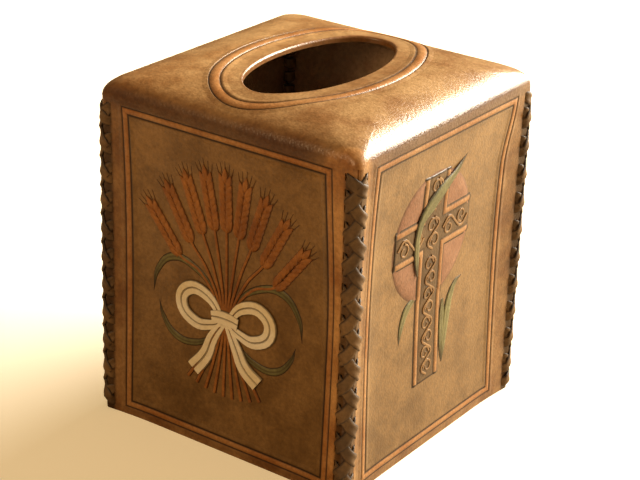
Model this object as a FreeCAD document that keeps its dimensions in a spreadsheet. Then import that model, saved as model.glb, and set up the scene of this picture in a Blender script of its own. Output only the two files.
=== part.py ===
"""Laced leather cover for a cube-shaped tissue box.

One cross-shaped leather blank is folded down into four walls round a crowned top with an oval opening.
Each vertical corner is closed by one lace. It winds down through every other slit of the two cut edges and up
again through the slits that it left out, so its strands cross.
Millimetres, +Z up, origin at the middle of the open bottom. The front wall faces -Y.
"""
import FreeCAD, Part
import math
import os
import Sketcher

Vector = FreeCAD.Vector

# Driving dimensions in millimetres, angles in degrees
SIZES = [
    ("cover_width", 124.0, "outside width and depth, from wall to wall"),
    ("leather", 2.4, "thickness of the leather"),
    ("fold_start", 138.5, "height where the walls start to roll over into the top"),
    ("fold_radius", 7.5, "outside radius of the roll"),
    ("crown_slope", 21.0, "slope of the top where the roll ends, in degrees"),
    ("crown_run", 21.0, "level distance over which that slope fades out"),
    ("corner_radius", 3.2, "outside radius of the top's corners, seen from above, at the fold"),
    ("corner_spread", 1.0, "growth of that radius for each millimetre further in"),
    ("opening_width", 43.0, "short axis of the oval opening, along X"),
    ("opening_length", 84.0, "long axis of the oval opening, along Y"),
    ("rim_round", 0.9, "rounding of the opening's upper edge"),
    ("wall_sag", 3.0, "how far the middle of a wall is sunk behind its laced edges"),
    ("foot_sag", 1.4, "the same at the bottom edge"),
    ("fold_sag", 0.05, "the same at the fold"),
    ("sag_low", 40.0, "height where the full sag is reached"),
    ("sag_high", 104.0, "height where the full sag ends"),
    ("flare_run", 25.0, "width of the flared strip along each laced edge"),
    ("corner_gap", 0.25, "gap between the flesh sides of two walls at a corner"),
    ("slit_inset", 5.0, "distance of the slits from the neighbouring wall's outside"),
    ("slit_width", 2.3, "slit width along the wall, opened by the lace"),
    ("slit_height", 3.0, "slit height"),
    ("slit_first", 3.6, "height of the lowest slit"),
    ("slit_pitch", 6.25, "spacing of the slits"),
    ("slit_count", 22, "slits along each cut edge, an even number"),
    ("lace_diameter", 1.1, "lace thickness, drawn round"),
    ("lace_clearance", 0.25, "gap between the lace and the leather that it lies on"),
    ("lace_crossing", 0.5, "gap between two strands where they cross"),
    ("lace_bend", 1.85, "radius of the lace's turn out of a slit"),
]

doc = FreeCAD.newDocument("tissue_box_cover")
sheet = doc.addObject("Spreadsheet::Sheet", "sizes")
for row, (alias, value, note) in enumerate(SIZES, start=1):
    sheet.set(f"A{row}", alias)
    sheet.set(f"B{row}", str(value))
    sheet.setAlias(f"B{row}", alias)
    sheet.set(f"C{row}", note)
doc.recompute()


def size(alias):
    """Number held in the sheet under this alias."""
    return float(sheet.get(alias))


def value_of(expression):
    """Present value of an expression over the sheet."""
    return float(sheet.evalExpression(expression))


def bind(obj, **expressions):
    """Tie properties or named constraints of an object to the sheet; __ in a name stands for a dot."""
    for name, text in expressions.items():
        obj.setExpression(name.replace("__", "."), text)


def origin_feature(body, role):
    """Origin plane or axis of a body, found by its role."""
    return next(item for item in body.Origin.OriginFeatures if item.Role == role)


def sketch_on(body, name, plane, offset):
    """Sketch on an origin plane of the body, moved along the plane's normal by an expression."""
    sketch = body.newObject("Sketcher::SketchObject", name)
    sketch.AttachmentSupport = (origin_feature(body, plane), [""])
    sketch.MapMode = "FlatFace"
    bind(sketch, AttachmentOffset__Base__z=offset)
    return sketch


def dimension(sketch, name, kind, *where, to):
    """Named driving dimension, tied to an expression."""
    index = sketch.addConstraint(Sketcher.Constraint(kind, *where))
    sketch.renameConstraint(index, name)
    sketch.setExpression(f"Constraints.{name}", to)


ROOT = (-1, 1)
START, END, CENTRE = 1, 2, 3
HALF_WIDTH = "sizes.cover_width / 2"


def rounded_square(sketch, half, radius):
    """Square with rounded corners about the sketch's origin, with its half width and corner radius bound."""
    straight = f"({half}) - ({radius})"
    straight_now = value_of(straight)
    radius_now = value_of(radius)
    quarter = math.pi / 2
    arcs = []
    for turn, (side_x, side_y) in enumerate([(1, 1), (-1, 1), (-1, -1), (1, -1)]):
        centre = Vector(side_x * straight_now, side_y * straight_now, 0)
        circle = Part.Circle(centre, Vector(0, 0, 1), radius_now)
        arc = sketch.addGeometry(Part.ArcOfCircle(circle, turn * quarter, (turn + 1) * quarter))
        first, last = ("Horizontal", "Vertical") if turn % 2 == 0 else ("Vertical", "Horizontal")
        sketch.addConstraint(Sketcher.Constraint(first, arc, CENTRE, arc, START))
        sketch.addConstraint(Sketcher.Constraint(last, arc, CENTRE, arc, END))
        for axis, kind, side in (("x", "DistanceX", side_x), ("y", "DistanceY", side_y)):
            ends = (*ROOT, arc, CENTRE) if side > 0 else (arc, CENTRE, *ROOT)
            dimension(sketch, f"centre_{turn}_{axis}", kind, *ends, straight_now, to=straight)
        dimension(sketch, f"corner_{turn}", "Radius", arc, radius_now, to=radius)
        arcs.append(arc)
    for turn in range(4):
        leave, arrive = arcs[turn], arcs[(turn + 1) % 4]
        line = Part.LineSegment(sketch.getPoint(leave, END), sketch.getPoint(arrive, START))
        side = sketch.addGeometry(line)
        sketch.addConstraint(Sketcher.Constraint("Coincident", side, START, leave, END))
        sketch.addConstraint(Sketcher.Constraint("Coincident", side, END, arrive, START))


FOLD_STEPS = 3
CROWN_STEPS = 3


def top_profile():
    """Points of the top's outside, from the wall to where it is level.

    Each point gives its inset from the wall, its height over the fold start and the lean of its outward
    normal, 0 at the wall and 90 degrees on the level middle, as expressions.
    """
    fold_turn = "(90 - sizes.crown_slope)"
    crown_radius = "(sizes.crown_run / sin(sizes.crown_slope))"
    points = []
    for step in range(FOLD_STEPS + 1):
        lean = f"({fold_turn} * {step} / {FOLD_STEPS})"
        points.append((f"sizes.fold_radius * (1 - cos{lean})", f"sizes.fold_radius * sin{lean}", lean))
    for step in range(1, CROWN_STEPS + 1):
        lean = f"({fold_turn} + sizes.crown_slope * {step} / {CROWN_STEPS})"
        inset = (f"sizes.fold_radius * (1 - sin(sizes.crown_slope))"
                 f" + {crown_radius} * (sin(sizes.crown_slope) - cos{lean})")
        rise = (f"sizes.fold_radius * cos(sizes.crown_slope)"
                f" + {crown_radius} * (sin{lean} - cos(sizes.crown_slope))")
        points.append((inset, rise, lean))
    return points


def top_sections(body, name, depth):
    """Rounded squares up the top's profile, at a depth under its outside."""
    sketches = []
    for number, (inset, rise, lean) in enumerate(top_profile()):
        half = f"{HALF_WIDTH} - ({inset}) - {depth} * cos{lean}"
        radius = f"sizes.corner_radius + sizes.corner_spread * ({inset}) - {depth} * cos{lean}"
        height = f"sizes.fold_start + {rise} - {depth} * sin{lean}"
        sketch = sketch_on(body, f"{name}_{number}", "XY_Plane", height)
        rounded_square(sketch, half, radius)
        sketches.append(sketch)
    return sketches


def loft(body, kind, name, sketches):
    """Smooth loft through sketches, added to the body or taken from it."""
    feature = body.newObject(kind, name)
    feature.Profile = sketches[0]
    feature.Sections = [(sketch, [""]) for sketch in sketches[1:]]
    feature.Ruled = False
    body.Tip = feature
    return feature


def wall_section(body, name, height, sag):
    """Cross-section of the front wall: a level middle, with both ends flared out to the cut edges."""
    sketch = sketch_on(body, name, "XY_Plane", height)
    edge = f"{HALF_WIDTH} - sizes.leather - sizes.corner_gap"
    level = f"{edge} - sizes.flare_run"
    edge_now = value_of(edge)
    level_now = value_of(level)
    sag_now = value_of(sag)
    run_now = size("flare_run")
    flare_radius = (run_now ** 2 + sag_now ** 2) / (2 * sag_now)
    flare_angle = math.asin(run_now / flare_radius)
    upright = math.pi / 2
    rows = []
    for row, face in (("outside", HALF_WIDTH), ("inside", f"{HALF_WIDTH} - sizes.leather")):
        face_now = value_of(face)
        middle_y = sag_now - face_now
        left_centre = Vector(-level_now, middle_y - flare_radius, 0)
        right_centre = Vector(level_now, middle_y - flare_radius, 0)
        left_circle = Part.Circle(left_centre, Vector(0, 0, 1), flare_radius)
        right_circle = Part.Circle(right_centre, Vector(0, 0, 1), flare_radius)
        line = Part.LineSegment(Vector(-level_now, middle_y, 0), Vector(level_now, middle_y, 0))
        left = sketch.addGeometry(Part.ArcOfCircle(left_circle, upright, upright + flare_angle))
        middle = sketch.addGeometry(line)
        right = sketch.addGeometry(Part.ArcOfCircle(right_circle, upright - flare_angle, upright))
        sketch.addConstraint(Sketcher.Constraint("Tangent", left, START, middle, START))
        sketch.addConstraint(Sketcher.Constraint("Tangent", middle, END, right, END))
        sketch.addConstraint(Sketcher.Constraint("Horizontal", middle))
        dimension(sketch, f"{row}_level_left", "DistanceX", middle, START, *ROOT, level_now, to=level)
        dimension(sketch, f"{row}_level_right", "DistanceX", *ROOT, middle, END, level_now, to=level)
        dimension(sketch, f"{row}_middle", "DistanceY", middle, START, *ROOT, -middle_y, to=f"{face} - {sag}")
        dimension(sketch, f"{row}_left_edge", "DistanceY", left, END, *ROOT, face_now, to=face)
        dimension(sketch, f"{row}_right_edge", "DistanceY", right, START, *ROOT, face_now, to=face)
        rows.append((left, right))
    (outer_left, outer_right), (inner_left, inner_right) = rows
    half_now = value_of(HALF_WIDTH)
    for name, side, outer, inner, point in (("left_cut", -1, outer_left, inner_left, END),
                                            ("right_cut", 1, outer_right, inner_right, START)):
        cut = sketch.addGeometry(Part.LineSegment(Vector(side * edge_now, -half_now, 0),
                                                  Vector(side * edge_now, size("leather") - half_now, 0)))
        sketch.addConstraint(Sketcher.Constraint("Coincident", cut, START, outer, point))
        sketch.addConstraint(Sketcher.Constraint("Coincident", cut, END, inner, point))
        sketch.addConstraint(Sketcher.Constraint("Vertical", cut))
        ends = (cut, START, *ROOT) if side < 0 else (*ROOT, cut, START)
        dimension(sketch, name, "DistanceX", *ends, edge_now, to=edge)
    return sketch


def slit_outline(sketch, side):
    """Outline of the lowest slit at the left or right edge of the front wall."""
    across = value_of(f"{HALF_WIDTH} - sizes.slit_inset")
    half_wide = size("slit_width") / 2
    half_high = size("slit_height") / 2
    middle = Vector(side * across, size("slit_first"), 0)
    corners = ((-1, -1), (1, -1), (1, 1), (-1, 1))
    points = [middle + Vector(x * half_wide, y * half_high, 0) for x, y in corners]
    lines = [sketch.addGeometry(Part.LineSegment(points[i], points[(i + 1) % 4])) for i in range(4)]
    for i in range(4):
        sketch.addConstraint(Sketcher.Constraint("Coincident", lines[i], END, lines[(i + 1) % 4], START))
        sketch.addConstraint(Sketcher.Constraint("Horizontal" if i % 2 == 0 else "Vertical", lines[i]))
    name = "left" if side < 0 else "right"
    near_point = (lines[1], START) if side < 0 else (lines[3], START)
    ends = (*near_point, *ROOT) if side < 0 else (*ROOT, *near_point)
    dimension(sketch, f"{name}_width", "DistanceX", lines[0], START, lines[0], END, 2 * half_wide,
              to="sizes.slit_width")
    dimension(sketch, f"{name}_height", "DistanceY", lines[1], START, lines[1], END, 2 * half_high,
              to="sizes.slit_height")
    dimension(sketch, f"{name}_inset", "DistanceX", *ends, across - half_wide,
              to=f"{HALF_WIDTH} - sizes.slit_inset - sizes.slit_width / 2")
    dimension(sketch, f"{name}_foot", "DistanceY", *ROOT, lines[0], START, size("slit_first") - half_high,
              to="sizes.slit_first - sizes.slit_height / 2")


# Share of the opening's half axes by which a point may miss the oval and still count as on it
RIM_TOLERANCE = 1e-4


def on_rim(edge):
    """Whether an edge lies on the oval of the opening."""
    half_long = size("opening_length") / 2
    half_short = size("opening_width") / 2
    return all(abs(math.hypot(point.x / half_short, point.y / half_long) - 1) < RIM_TOLERANCE
               for point in edge.discretize(5))


def leather_cover():
    """The folded blank: crowned top with its opening, four flared walls and their lacing slits."""
    body = doc.addObject("PartDesign::Body", "cover_leather")
    body.Label = "cover_leather"

    loft(body, "PartDesign::AdditiveLoft", "top_outside", top_sections(body, "outside", "0"))
    loft(body, "PartDesign::SubtractiveLoft", "top_inside", top_sections(body, "inside", "sizes.leather"))
    doc.recompute()
    whole_top = body.Shape.Volume

    top_height = f"sizes.fold_start + {top_profile()[-1][1]}"
    opening = sketch_on(body, "opening_outline", "XY_Plane", f"{top_height} + sizes.leather")
    half_long = size("opening_length") / 2
    half_short = size("opening_width") / 2
    ellipse = Part.Ellipse(Vector(0, half_long, 0), Vector(half_short, 0, 0), Vector(0, 0, 0))
    oval = opening.addGeometry(ellipse)
    opening.exposeInternalGeometry(oval)
    long_axis, short_axis = oval + 1, oval + 2
    opening.addConstraint(Sketcher.Constraint("Coincident", oval, CENTRE, *ROOT))
    opening.addConstraint(Sketcher.Constraint("Vertical", long_axis))
    dimension(opening, "long_axis", "Distance", long_axis, 2 * half_long, to="sizes.opening_length")
    dimension(opening, "short_axis", "Distance", short_axis, 2 * half_short, to="sizes.opening_width")
    mouth = body.newObject("PartDesign::Pocket", "opening")
    mouth.Profile = opening
    mouth.Type = "Length"
    bind(mouth, Length="sizes.fold_radius + sizes.leather * 2")
    body.Tip = mouth
    doc.recompute()
    if mouth.Shape.Volume >= whole_top:
        raise RuntimeError("the opening cuts nothing")

    rim = body.newObject("PartDesign::Fillet", "opening_rim")
    upper = max(edge.BoundBox.ZMax for edge in mouth.Shape.Edges if on_rim(edge))
    names = [f"Edge{number}" for number, edge in enumerate(mouth.Shape.Edges, start=1)
             if on_rim(edge) and edge.BoundBox.ZMax > upper - size("leather") / 2]
    rim.Base = (mouth, names)
    bind(rim, Radius="sizes.rim_round")
    body.Tip = rim
    doc.recompute()

    sections = [("foot", "0", "sizes.foot_sag"), ("low", "sizes.sag_low", "sizes.wall_sag"),
                ("high", "sizes.sag_high", "sizes.wall_sag"), ("fold", "sizes.fold_start", "sizes.fold_sag")]
    sketches = [wall_section(body, f"wall_{name}", height, sag) for name, height, sag in sections]
    wall = loft(body, "PartDesign::AdditiveLoft", "front_wall", sketches)
    walls = body.newObject("PartDesign::PolarPattern", "four_walls")
    walls.Originals = [wall]
    walls.Axis = (origin_feature(body, "Z_Axis"), [""])
    walls.Occurrences = 4
    body.Tip = walls
    doc.recompute()
    uncut = body.Shape.Volume

    slits = sketch_on(body, "slit_outlines", "XZ_Plane", f"{HALF_WIDTH} + sizes.leather")
    slit_outline(slits, -1)
    slit_outline(slits, 1)
    pair = body.newObject("PartDesign::Pocket", "slit_pair")
    pair.Profile = slits
    pair.Type = "Length"
    bind(pair, Length="sizes.leather * 3 + sizes.wall_sag")
    body.Tip = pair
    doc.recompute()
    pattern = body.newObject("PartDesign::MultiTransform", "slits")
    column = body.newObject("PartDesign::LinearPattern", "slit_column")
    column.Direction = (origin_feature(body, "Z_Axis"), [""])
    column.Mode = "Spacing"
    bind(column, Offset="sizes.slit_pitch", Occurrences="sizes.slit_count")
    around = body.newObject("PartDesign::PolarPattern", "slit_sides")
    around.Axis = (origin_feature(body, "Z_Axis"), [""])
    around.Occurrences = 4
    pattern.Originals = [pair]
    pattern.Transformations = [column, around]
    body.Tip = pattern
    doc.recompute()
    removed = uncut - body.Shape.Volume
    if removed <= 0:
        raise RuntimeError("the slits cut nothing")
    print(f"slits remove {removed:.1f} mm3")
    return body, wall


def unit(vector):
    """Copy of a vector with length 1."""
    return vector / vector.Length


def arc_from(start, tangent, end):
    """Middle and radius of the arc that leaves start along a unit tangent and ends at end."""
    chord = end - start
    along = unit(chord)
    cosine = min(1.0, tangent.dot(along))
    half_turn = math.acos(cosine)
    aside = unit(tangent - along * cosine)
    middle = start + chord / 2 + aside * (chord.Length / 2 * math.tan(half_turn / 2))
    return middle, chord.Length / (2 * math.sin(half_turn))


def biarc(start, start_tangent, end, end_tangent):
    """Two arcs that join two points smoothly, with unit tangents at both, and their lesser radius."""
    span = end - start
    both = start_tangent + end_tangent
    spread = 2 * (1 - start_tangent.dot(end_tangent))
    slope = span.dot(both)
    reach = (math.sqrt(slope ** 2 + spread * span.dot(span)) - slope) / spread
    joint = (start + start_tangent * reach + end - end_tangent * reach) / 2
    first_middle, first_radius = arc_from(start, start_tangent, joint)
    second_middle, second_radius = arc_from(end, end_tangent * -1, joint)
    arcs = [Part.Arc(start, first_middle, joint).toShape(), Part.Arc(joint, second_middle, end).toShape()]
    return arcs, min(first_radius, second_radius)


# Share of the lace's climb on its way round the corner, between its two bends
WRAP_SHARE = 0.7
# Spacing of the points on which the lace's gap to itself is measured
GAP_STEP = 0.45


class LaceRoute:
    """Centre line of the lace at the front left corner, as straight runs through the leather and arcs.

    Places are given as p, the distance from the corner along the front wall, q, the distance from it along
    the left wall, and the height. The two walls meet alike at the corner, so a place on the left wall is the
    front wall's with p and q exchanged.
    """

    def __init__(self):
        self.half_width = size("cover_width") / 2
        self.inset = size("slit_inset")
        self.leather = size("leather")
        self.diameter = size("lace_diameter")
        self.lift = self.diameter / 2 + size("lace_clearance")
        self.step_over = self.diameter + size("lace_crossing")
        self.bend = size("lace_bend")
        self.edges = []
        self.least_radius = math.inf
        self.place = None
        self.heading = None

    def at(self, p, q, z):
        return Vector(p - self.half_width, q - self.half_width, z)

    def face(self, p, z):
        """Depth of the front wall's outside at a distance from the corner."""
        start = self.at(p, -self.leather, z)
        end = self.at(p, 3 * self.leather + size("wall_sag"), z)
        crossing = wall_loft.AddSubShape.common(Part.makeLine(start, end))
        return min(vertex.Y for vertex in crossing.Vertexes) + self.half_width

    def height(self, number):
        return size("slit_first") + number * size("slit_pitch")

    def start(self, place, heading):
        self.place = place
        self.heading = heading

    def run_to(self, place):
        self.edges.append(Part.makeLine(self.place, place))
        self.place = place

    def curve_to(self, place, heading):
        arcs, radius = biarc(self.place, self.heading, place, heading)
        self.edges.append(arcs[0])
        self.edges.append(arcs[1])
        self.least_radius = min(self.least_radius, radius)
        self.place = place
        self.heading = heading

    def outside(self, from_slit, to_slit, over):
        """From the front wall's slit round the outside of the corner to the left wall's slit."""
        low, high = self.height(from_slit), self.height(to_slit)
        climb = high - low
        side = self.inset - self.bend
        stand = self.lift
        if over:
            stand += self.step_over
        lean = math.atan2(climb * WRAP_SHARE, (side + stand) * math.pi / 2)
        flat, rise = math.cos(lean), math.sin(lean)
        early = climb * (1 - WRAP_SHARE) / 2
        # The bend is wider than the lace's lift off the leather, so it starts a little inside the slit.
        low_start = min(self.bend - stand, self.bend - self.lift + self.face(self.inset, low))
        high_end = min(self.bend - stand, self.bend - self.lift + self.face(self.inset, high))
        self.run_to(self.at(self.inset, low_start, low))
        self.curve_to(self.at(side, -stand, low + early), Vector(-flat, 0, rise))
        self.curve_to(self.at(-stand, side, high - early), Vector(0, flat, rise))
        self.curve_to(self.at(high_end, self.inset, high), Vector(1, 0, 0))

    def inside(self, slit):
        """From the left wall's slit level across the inside of the corner to the front wall's slit."""
        level = self.height(slit)
        turn = self.face(self.inset, level) + self.leather - self.bend + self.lift
        self.run_to(self.at(turn, self.inset, level))
        self.curve_to(self.at(self.inset, turn, level), Vector(0, -1, 0))

    def least_gap(self):
        """Least gap between stretches of the lace that aren't neighbours along it, measured on points."""
        points = []
        for edge in self.edges:
            points += edge.discretize(max(3, int(edge.Length / GAP_STEP)))[:-1]
        travel = [0.0]
        for before, after in zip(points, points[1:]):
            travel.append(travel[-1] + before.distanceToPoint(after))
        least = math.inf
        for i, point in enumerate(points):
            for j in range(i + 1, len(points)):
                if travel[j] - travel[i] < math.pi * self.diameter:
                    continue
                other = points[j]
                if abs(other.z - point.z) < 2 * self.diameter:
                    least = min(least, point.distanceToPoint(other))
        return least - self.diameter


def corner_lace():
    """Solid of the front left lace: down the corner as the under strand and up again as the over strand."""
    route = LaceRoute()
    top = int(size("slit_count")) - 1
    top_face = route.face(route.inset, route.height(top)) + route.leather
    tail = top_face + size("lace_clearance")
    route.start(route.at(route.inset, tail, route.height(top)), Vector(0, -1, 0))
    for upper in range(top, 2, -2):
        route.outside(upper, upper - 2, False)
        route.inside(upper - 2)
    route.outside(1, 0, False)
    route.inside(0)
    for lower in range(0, top - 1, 2):
        route.outside(lower, lower + 2, True)
        route.inside(lower + 2)
    route.outside(top - 1, top, True)
    route.run_to(route.at(tail, route.inset, route.height(top)))
    wire = Part.Wire(route.edges)
    ring = Part.Circle(route.edges[0].valueAt(0), Vector(0, -1, 0), route.diameter / 2)
    solid = wire.makePipeShell([Part.Wire(ring.toShape())], True, False)
    section = math.pi * route.diameter ** 2 / 4
    print(f"lace length {wire.Length:.1f}, least bend radius {route.least_radius:.2f},"
          f" least gap to itself {route.least_gap():.2f}, volume over section times length"
          f" {solid.Volume / (section * wire.Length):.4f}")
    return solid


CORNERS = ["front_left", "front_right", "back_right", "back_left"]

cover, wall_loft = leather_cover()
lace = corner_lace()
sub_parts = [cover]
for turn, corner in enumerate(CORNERS):
    strand = doc.addObject("Part::Feature", f"corner_lace_{corner}")
    strand.Label = f"corner_lace_{corner}"
    strand.Shape = lace
    strand.Placement = FreeCAD.Placement(Vector(), FreeCAD.Rotation(Vector(0, 0, 1), 90 * turn))
    sub_parts.append(strand)
doc.recompute()

failed = [item.Name for item in doc.Objects if "Invalid" in item.State or "Error" in item.State]
if failed:
    raise RuntimeError(f"objects that failed: {failed}")
for sub_part in sub_parts:
    shape = sub_part.Shape
    if shape.isNull() or not shape.isValid() or len(shape.Solids) != 1:
        raise RuntimeError(f"{sub_part.Label} is not one valid solid")

os.makedirs("parts", exist_ok=True)
for sub_part in sub_parts:
    sub_part.Shape.exportStep(f"parts/{sub_part.Label}.step")
    box = sub_part.Shape.BoundBox
    print(f"{sub_part.Label}: {box.XLength:.1f} x {box.YLength:.1f} x {box.ZLength:.1f},"
          f" {len(sub_part.Shape.Faces)} faces, {sub_part.Shape.Volume:.0f} mm3")
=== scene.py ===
# %% [markdown]
# # A laced and tooled leather tissue box cover
#
# The cover is one cross-shaped piece of vegetable-tanned leather. Its four walls are folded down round a
# crowned top, and each upright corner is closed by a lace. The walls and the top carry shallow tooled work:
# borders, a ring round the opening and two pictures. The solids of the leather and the laces come from the
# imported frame. This lesson adds what a solid can't show: flat laces, tooled relief, dyes, antique stain and
# grain.

import math

import bmesh
import bpy
from mathutils import Matrix, Vector


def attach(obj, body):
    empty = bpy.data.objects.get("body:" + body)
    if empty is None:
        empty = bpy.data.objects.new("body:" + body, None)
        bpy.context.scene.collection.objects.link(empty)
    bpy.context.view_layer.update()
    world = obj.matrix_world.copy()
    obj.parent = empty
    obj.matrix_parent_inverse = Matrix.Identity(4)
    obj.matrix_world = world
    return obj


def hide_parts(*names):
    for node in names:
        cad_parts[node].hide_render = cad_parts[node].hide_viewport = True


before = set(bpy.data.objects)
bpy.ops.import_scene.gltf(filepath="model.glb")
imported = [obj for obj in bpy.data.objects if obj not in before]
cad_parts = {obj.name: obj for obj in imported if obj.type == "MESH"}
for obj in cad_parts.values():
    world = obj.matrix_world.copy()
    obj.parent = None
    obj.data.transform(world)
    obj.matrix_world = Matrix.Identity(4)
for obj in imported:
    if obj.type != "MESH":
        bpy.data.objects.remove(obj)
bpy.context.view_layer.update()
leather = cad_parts["cover_leather"]
MM = 0.001

# %% [markdown]
# ## Camera
#
# A camera is easiest to place by hand, but here it has to stand where the photographer stood. Its direction,
# roll, distance and focal length were fitted to the corners, the border lines and the oval of the real cover.
# The camera's own axes are built from that direction, so no tracking constraint is needed.

# %% Place the camera
PICTURE_WIDTH, FOCAL_PIXELS = 640, 1857.7
AZIMUTH, ELEVATION, ROLL = 35.04, 24.09, 2.03
LOOKED_AT, CAMERA_DISTANCE = Vector((-8.38, 15.56, 64.94)) * MM, 785 * MM
NEAREST_SEEN = 10 * MM

azimuth, elevation, roll = (math.radians(angle) for angle in (AZIMUTH, ELEVATION, ROLL))
back = Vector((math.sin(azimuth) * math.cos(elevation), -math.cos(azimuth) * math.cos(elevation),
               math.sin(elevation)))
level_right = (-back).cross(Vector((0, 0, 1))).normalized()
level_up = back.cross(level_right)
rolled_right = level_right * math.cos(roll) + level_up * math.sin(roll)
rolled_up = level_up * math.cos(roll) - level_right * math.sin(roll)

bpy.ops.object.camera_add()
camera = bpy.context.object
camera.data.lens = FOCAL_PIXELS / PICTURE_WIDTH * camera.data.sensor_width
camera.data.clip_start = NEAREST_SEEN
camera.matrix_world = Matrix.Translation(LOOKED_AT + back * CAMERA_DISTANCE) @ Matrix(
    (rolled_right, rolled_up, back)).transposed().to_4x4()
bpy.context.scene.camera = camera
print(f"lens {camera.data.lens:.1f} mm")

# %% [markdown]
# ## Colours and nodes
#
# Colours are written as sRGB hex values, as a paint program shows them, and one function turns them to the
# linear values that shaders use. A second function adds a node, sets its properties and fills its inputs. It
# is all that the materials below need.

# %% Two helpers for materials
def paint(hex_colour):
    """Linear RGBA of an sRGB hex colour."""
    shares = [int(hex_colour[i:i + 2], 16) / 255 for i in (1, 3, 5)]
    return (*[s / 12.92 if s <= 0.04045 else ((s + 0.055) / 1.055) ** 2.4 for s in shares], 1.0)


def add_node(tree, kind, settings=(), fill=()):
    """Adds a shader node. An input gets a value, or a link where it is given another node's output."""
    node = tree.nodes.new("ShaderNode" + kind)
    for name, value in dict(settings).items():
        setattr(node, name, value)
    for socket, value in dict(fill).items():
        if isinstance(value, bpy.types.NodeSocket):
            tree.links.new(value, node.inputs[socket])
        else:
            node.inputs[socket].default_value = value
    return node


# Settings that many nodes share, and the inputs of a ramp from one range of values to another
SMOOTH, RGBA = {"interpolation_type": "SMOOTHSTEP"}, {"data_type": "RGBA"}
TIMES, SCALED = {"operation": "MULTIPLY"}, {"operation": "SCALE"}
RAMP = "Value", "From Min", "From Max", "To Min", "To Max"
print("cream is", [round(c, 3) for c in paint("#fffbea")])

# %% [markdown]
# ## Floor and light
#
# The real cover stands on a pale table in warm light from a large window behind it on the right. That light
# grazes the right wall, runs along its rolled top edge as a broad gloss and leaves the front wall in the
# shade. One large area lamp stands for the window, a weak one opposite lifts the shade, and the room itself
# is dim. To the camera the table is nearly white and keeps the shadow. For the leather it is darker, because
# the real table is far from filling the room.

# %% Pale floor
FLOOR_SIZE = 8
IN_REFLECTIONS, TABLE_GLOW = 0.17, 0.42

bpy.ops.mesh.primitive_plane_add(size=FLOOR_SIZE)
floor = bpy.context.object
floor.name = "pale_floor"
# Painted board, sanded matt: no gloss of its own, nearly white to the eye and warm in the shade
floor_paint = bpy.data.materials.new("pale_matt_table")
floor_paint.use_nodes = True
tree = floor_paint.node_tree
tree.nodes.clear()
rays = add_node(tree, "LightPath")
seen = add_node(tree, "Math", {"operation": "MULTIPLY_ADD"},
                {0: rays.outputs["Is Glossy Ray"], 1: IN_REFLECTIONS, 2: rays.outputs["Is Camera Ray"]})
board = add_node(tree, "Mix", RGBA, {
    0: seen.outputs[0], 6: paint("#9c8358"), 7: paint("#fbf8ee")})
glow = add_node(tree, "Math", TIMES, {0: rays.outputs["Is Camera Ray"], 1: TABLE_GLOW})
table = add_node(tree, "BsdfPrincipled", {}, {
    "Base Color": board.outputs[2], "Roughness": 0.8, "Specular IOR Level": 0.1,
    "Emission Color": paint("#f0d29a"), "Emission Strength": glow.outputs[0]})
add_node(tree, "OutputMaterial", {}, {"Surface": table.outputs[0]})
floor.data.materials.append(floor_paint)
print(f"{floor.name}: {FLOOR_SIZE} m wide")

# %% Window behind on the right, a weak lamp opposite, and a dim room
COVER_MIDDLE = Vector((0, 0, 70 * MM))
ROOM_LIGHT = 0.175


def area_lamp(name, colour, watts, size, direction, distance):
    """A rectangular lamp, seen from the cover's middle in a direction, that shines on the cover."""
    bpy.ops.object.light_add(type="AREA")
    lamp = bpy.context.object
    lamp.name = name
    lamp.data.shape = "RECTANGLE"
    lamp.data.size, lamp.data.size_y = size
    lamp.data.energy = watts
    lamp.data.color = paint(colour)[:3]
    toward = Vector(direction).normalized()
    lamp.location = COVER_MIDDLE + toward * distance
    lamp.rotation_mode = "QUATERNION"
    lamp.rotation_quaternion = toward.to_track_quat("Z", "Y")
    print(f"{name}: {watts} W at {[round(x, 2) for x in lamp.location]}")


area_lamp("window_behind", "#fff1dc", 45, (0.9, 0.75), (0.36, 0.80, 0.46), 1.0)
area_lamp("weak_front_fill", "#ffd09a", 3.4, (0.6, 0.4), (-0.1, -0.85, 0.5), 1.0)

world = bpy.data.worlds.new("warm_room")
bpy.context.scene.world = world
world.use_nodes = True
tree = world.node_tree
tree.nodes.clear()
rays = add_node(tree, "LightPath")
room = add_node(tree, "Background", {}, {"Color": paint("#ffd59c"), "Strength": ROOM_LIGHT})
wall_seen = add_node(tree, "Background", {}, {"Color": paint("#fffdf2"), "Strength": 1.0})
either = add_node(tree, "MixShader", {}, {
    0: rays.outputs["Is Camera Ray"], 1: room.outputs[0], 2: wall_seen.outputs[0]})
add_node(tree, "OutputWorld", {}, {"Surface": either.outputs[0]})
bpy.context.scene.view_settings.view_transform = "Standard"

# %% [markdown]
# ## Leather finishes
#
# Vegetable-tanned leather takes water-based dye unevenly, so its colour clouds over a centimetre or two and
# speckles over a millimetre. After tooling, a dark antique paste is rubbed over everything and wiped off
# again. It stays in the cuts. Each tooled piece below carries that as a vertex attribute named groove, and
# natural tan bands carry one named dye. The real pores are about 0.3 mm apart, too fine for the picture, so
# they are drawn three times as coarse.

# %% One recipe for dyed leather
PORE, SPECKLE, CLOUD = 0.9 * MM, 1.6 * MM, 17 * MM
CLOUD_ENDS, SPECKLE_ENDS, GLOSS_ENDS = (0.32, 0.68), (0.3, 0.7), (0.25, 0.75)
GLOSSIER, DULLER = 0.06, 0.1
SPECKLE_HEIGHT, GRAIN_DEPTH = 0.6, 0.5 * MM
LEATHER_IOR, WAX_ROUGHNESS = 1.47, 0.24


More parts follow.
